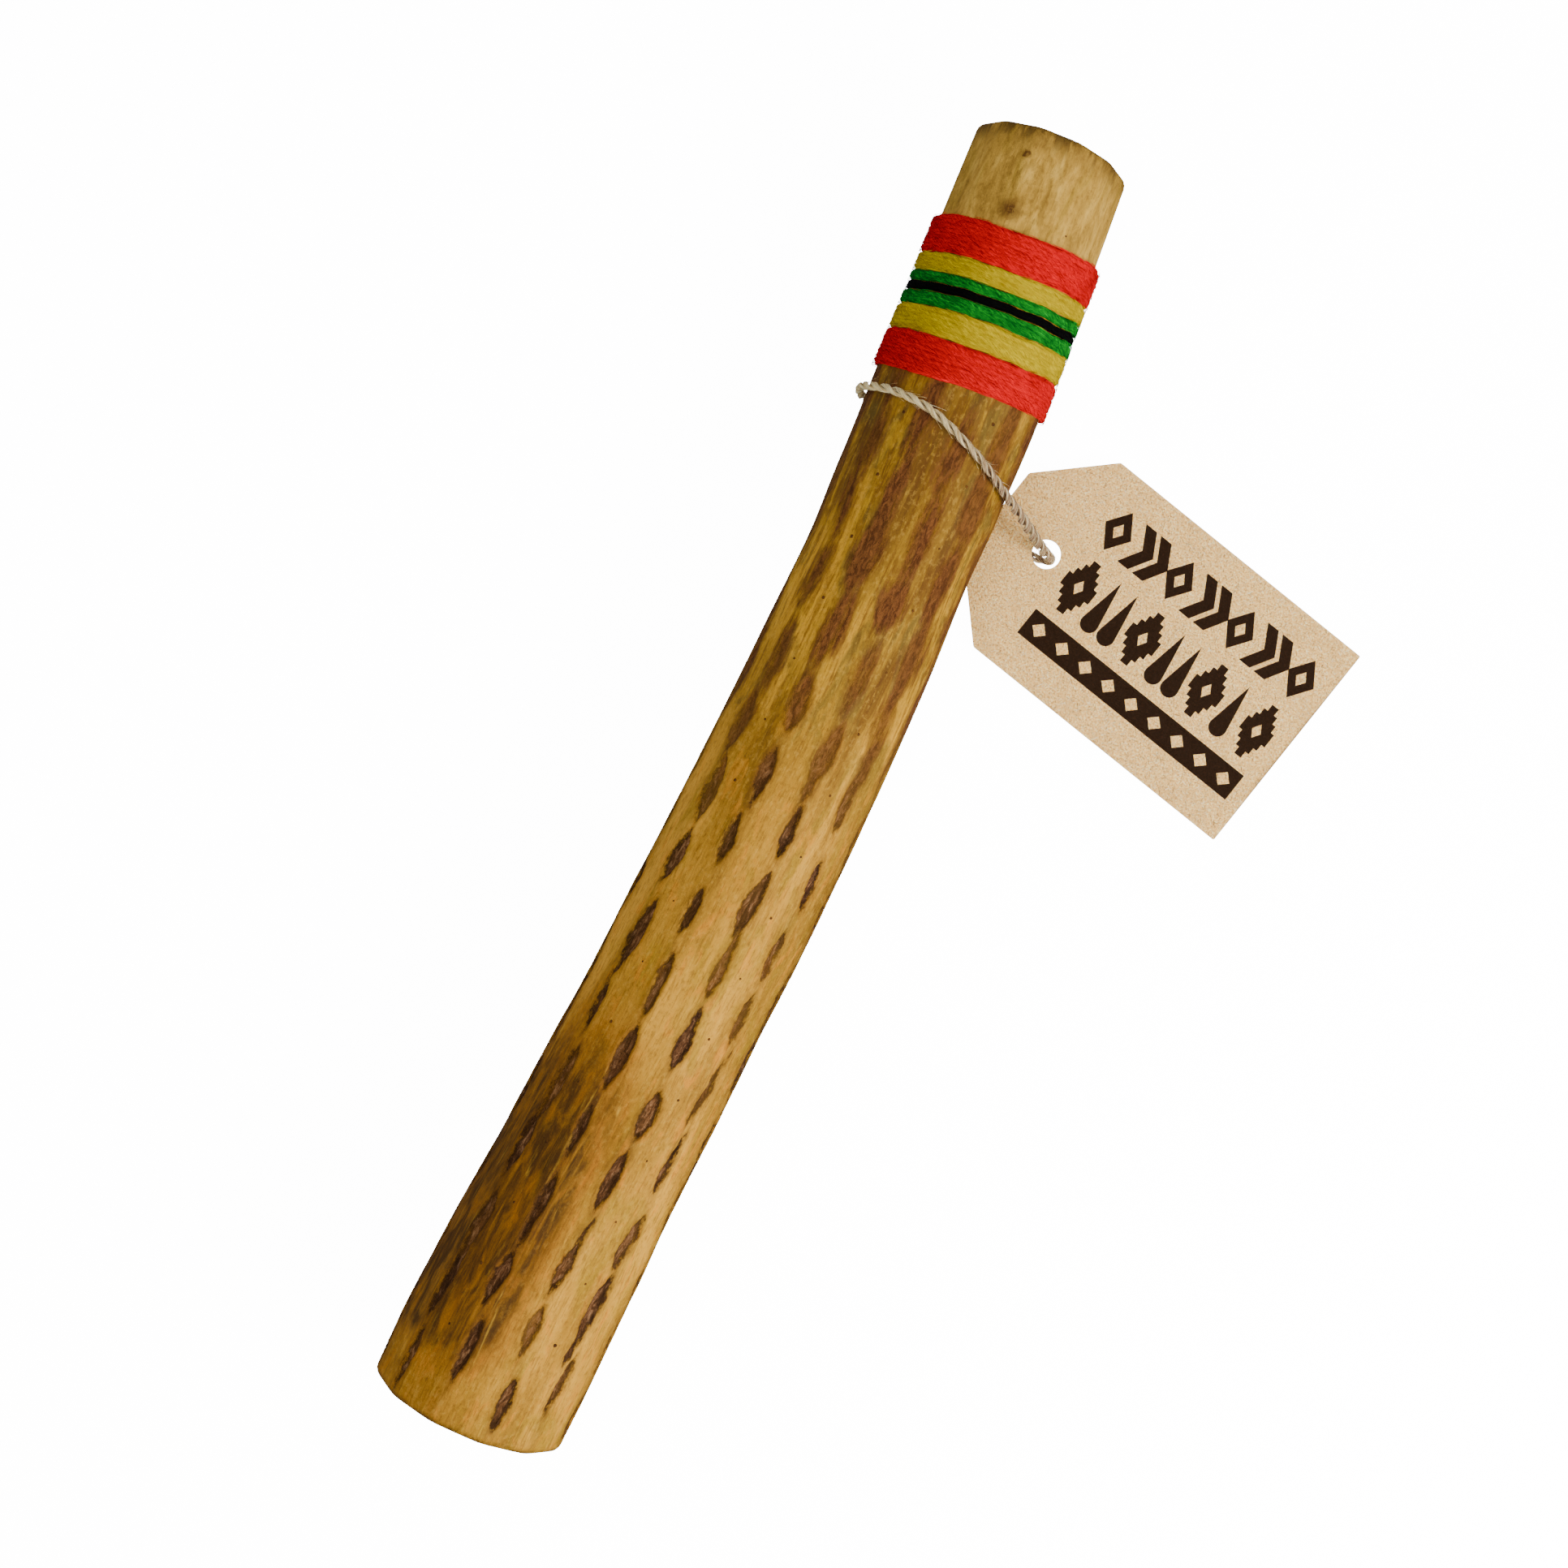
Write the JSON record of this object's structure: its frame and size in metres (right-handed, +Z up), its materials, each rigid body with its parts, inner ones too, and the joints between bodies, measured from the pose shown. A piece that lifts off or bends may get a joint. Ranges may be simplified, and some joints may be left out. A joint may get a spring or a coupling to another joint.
{
  "type": "rainstick",
  "caption": "Tapering cactus-wood tube closed at both ends, with thorns and pebbles inside that sound like rain, a wound yarn band, and a card tag on a loop of twine.",
  "frame": {"origin": "bottom centre of the stick's box, on the surface that it lies on; the twine and the tag are left out of that box", "axes": "+X along the stick towards its narrow end, +Z up, and the tag lies on the -Y side"},
  "size_m": [0.5079, 0.2248, 0.0739],
  "materials": {
    "cactus_wood": "satin",
    "plug_wood": "matte",
    "glue": "satin",
    "thorn": "satin",
    "yarn_red": "matte",
    "yarn_yellow": "matte",
    "yarn_green": "matte",
    "yarn_black": "matte",
    "pebble": "matte",
    "jute": "matte",
    "kraft_card": "matte"
  },
  "bodies": {
    "stick": {"cactus_tube": "cactus_wood", "wide_end_plug": "plug_wood", "narrow_end_plug": "plug_wood", "wide_end_glue": "glue", "narrow_end_glue": "glue", "thorn_row_1": "thorn", "thorn_row_2": "thorn", "thorn_row_3": "thorn", "thorn_row_4": "thorn", "thorn_row_5": "thorn", "thorn_row_6": "thorn", "yarn_red_upper": "yarn_red", "yarn_yellow_upper": "yarn_yellow", "yarn_green_upper": "yarn_green", "yarn_black": "yarn_black", "yarn_green_lower": "yarn_green", "yarn_yellow_lower": "yarn_yellow", "yarn_red_lower": "yarn_red"},
    "pebbles_left": {"pebbles_left": "pebble"},
    "pebbles_middle": {"pebbles_middle": "pebble"},
    "pebbles_right": {"pebbles_right": "pebble"},
    "twine_loop": {"twine": "jute", "twine_knot": "jute"},
    "tag": {"tag": "kraft_card"}
  },
  "joints": [
    {"name": "pebbles_left_run", "type": "slide", "parent": "stick", "child": "pebbles_left", "axis": [0.9999, 0, 0.0142], "range_m": [0, 0.42]},
    {"name": "pebbles_middle_run", "type": "slide", "parent": "stick", "child": "pebbles_middle", "axis": [1, 0, 0.0088], "range_m": [0, 0.42]},
    {"name": "pebbles_right_run", "type": "slide", "parent": "stick", "child": "pebbles_right", "axis": [1, 0, 0.008], "range_m": [0, 0.42]},
    {"name": "twine_slide", "type": "slide", "parent": "stick", "child": "twine_loop", "axis": [0.9991, 0.0419, 0], "range_m": [-0.01, 0.005]},
    {"name": "tag_swing", "type": "hinge", "parent": "twine_loop", "child": "tag", "pos_m": [0.1235, -0.0599, 0.0031], "axis": [-0.0054, -0.022, 0.9997], "range_deg": [-20, 20]}
  ]
}
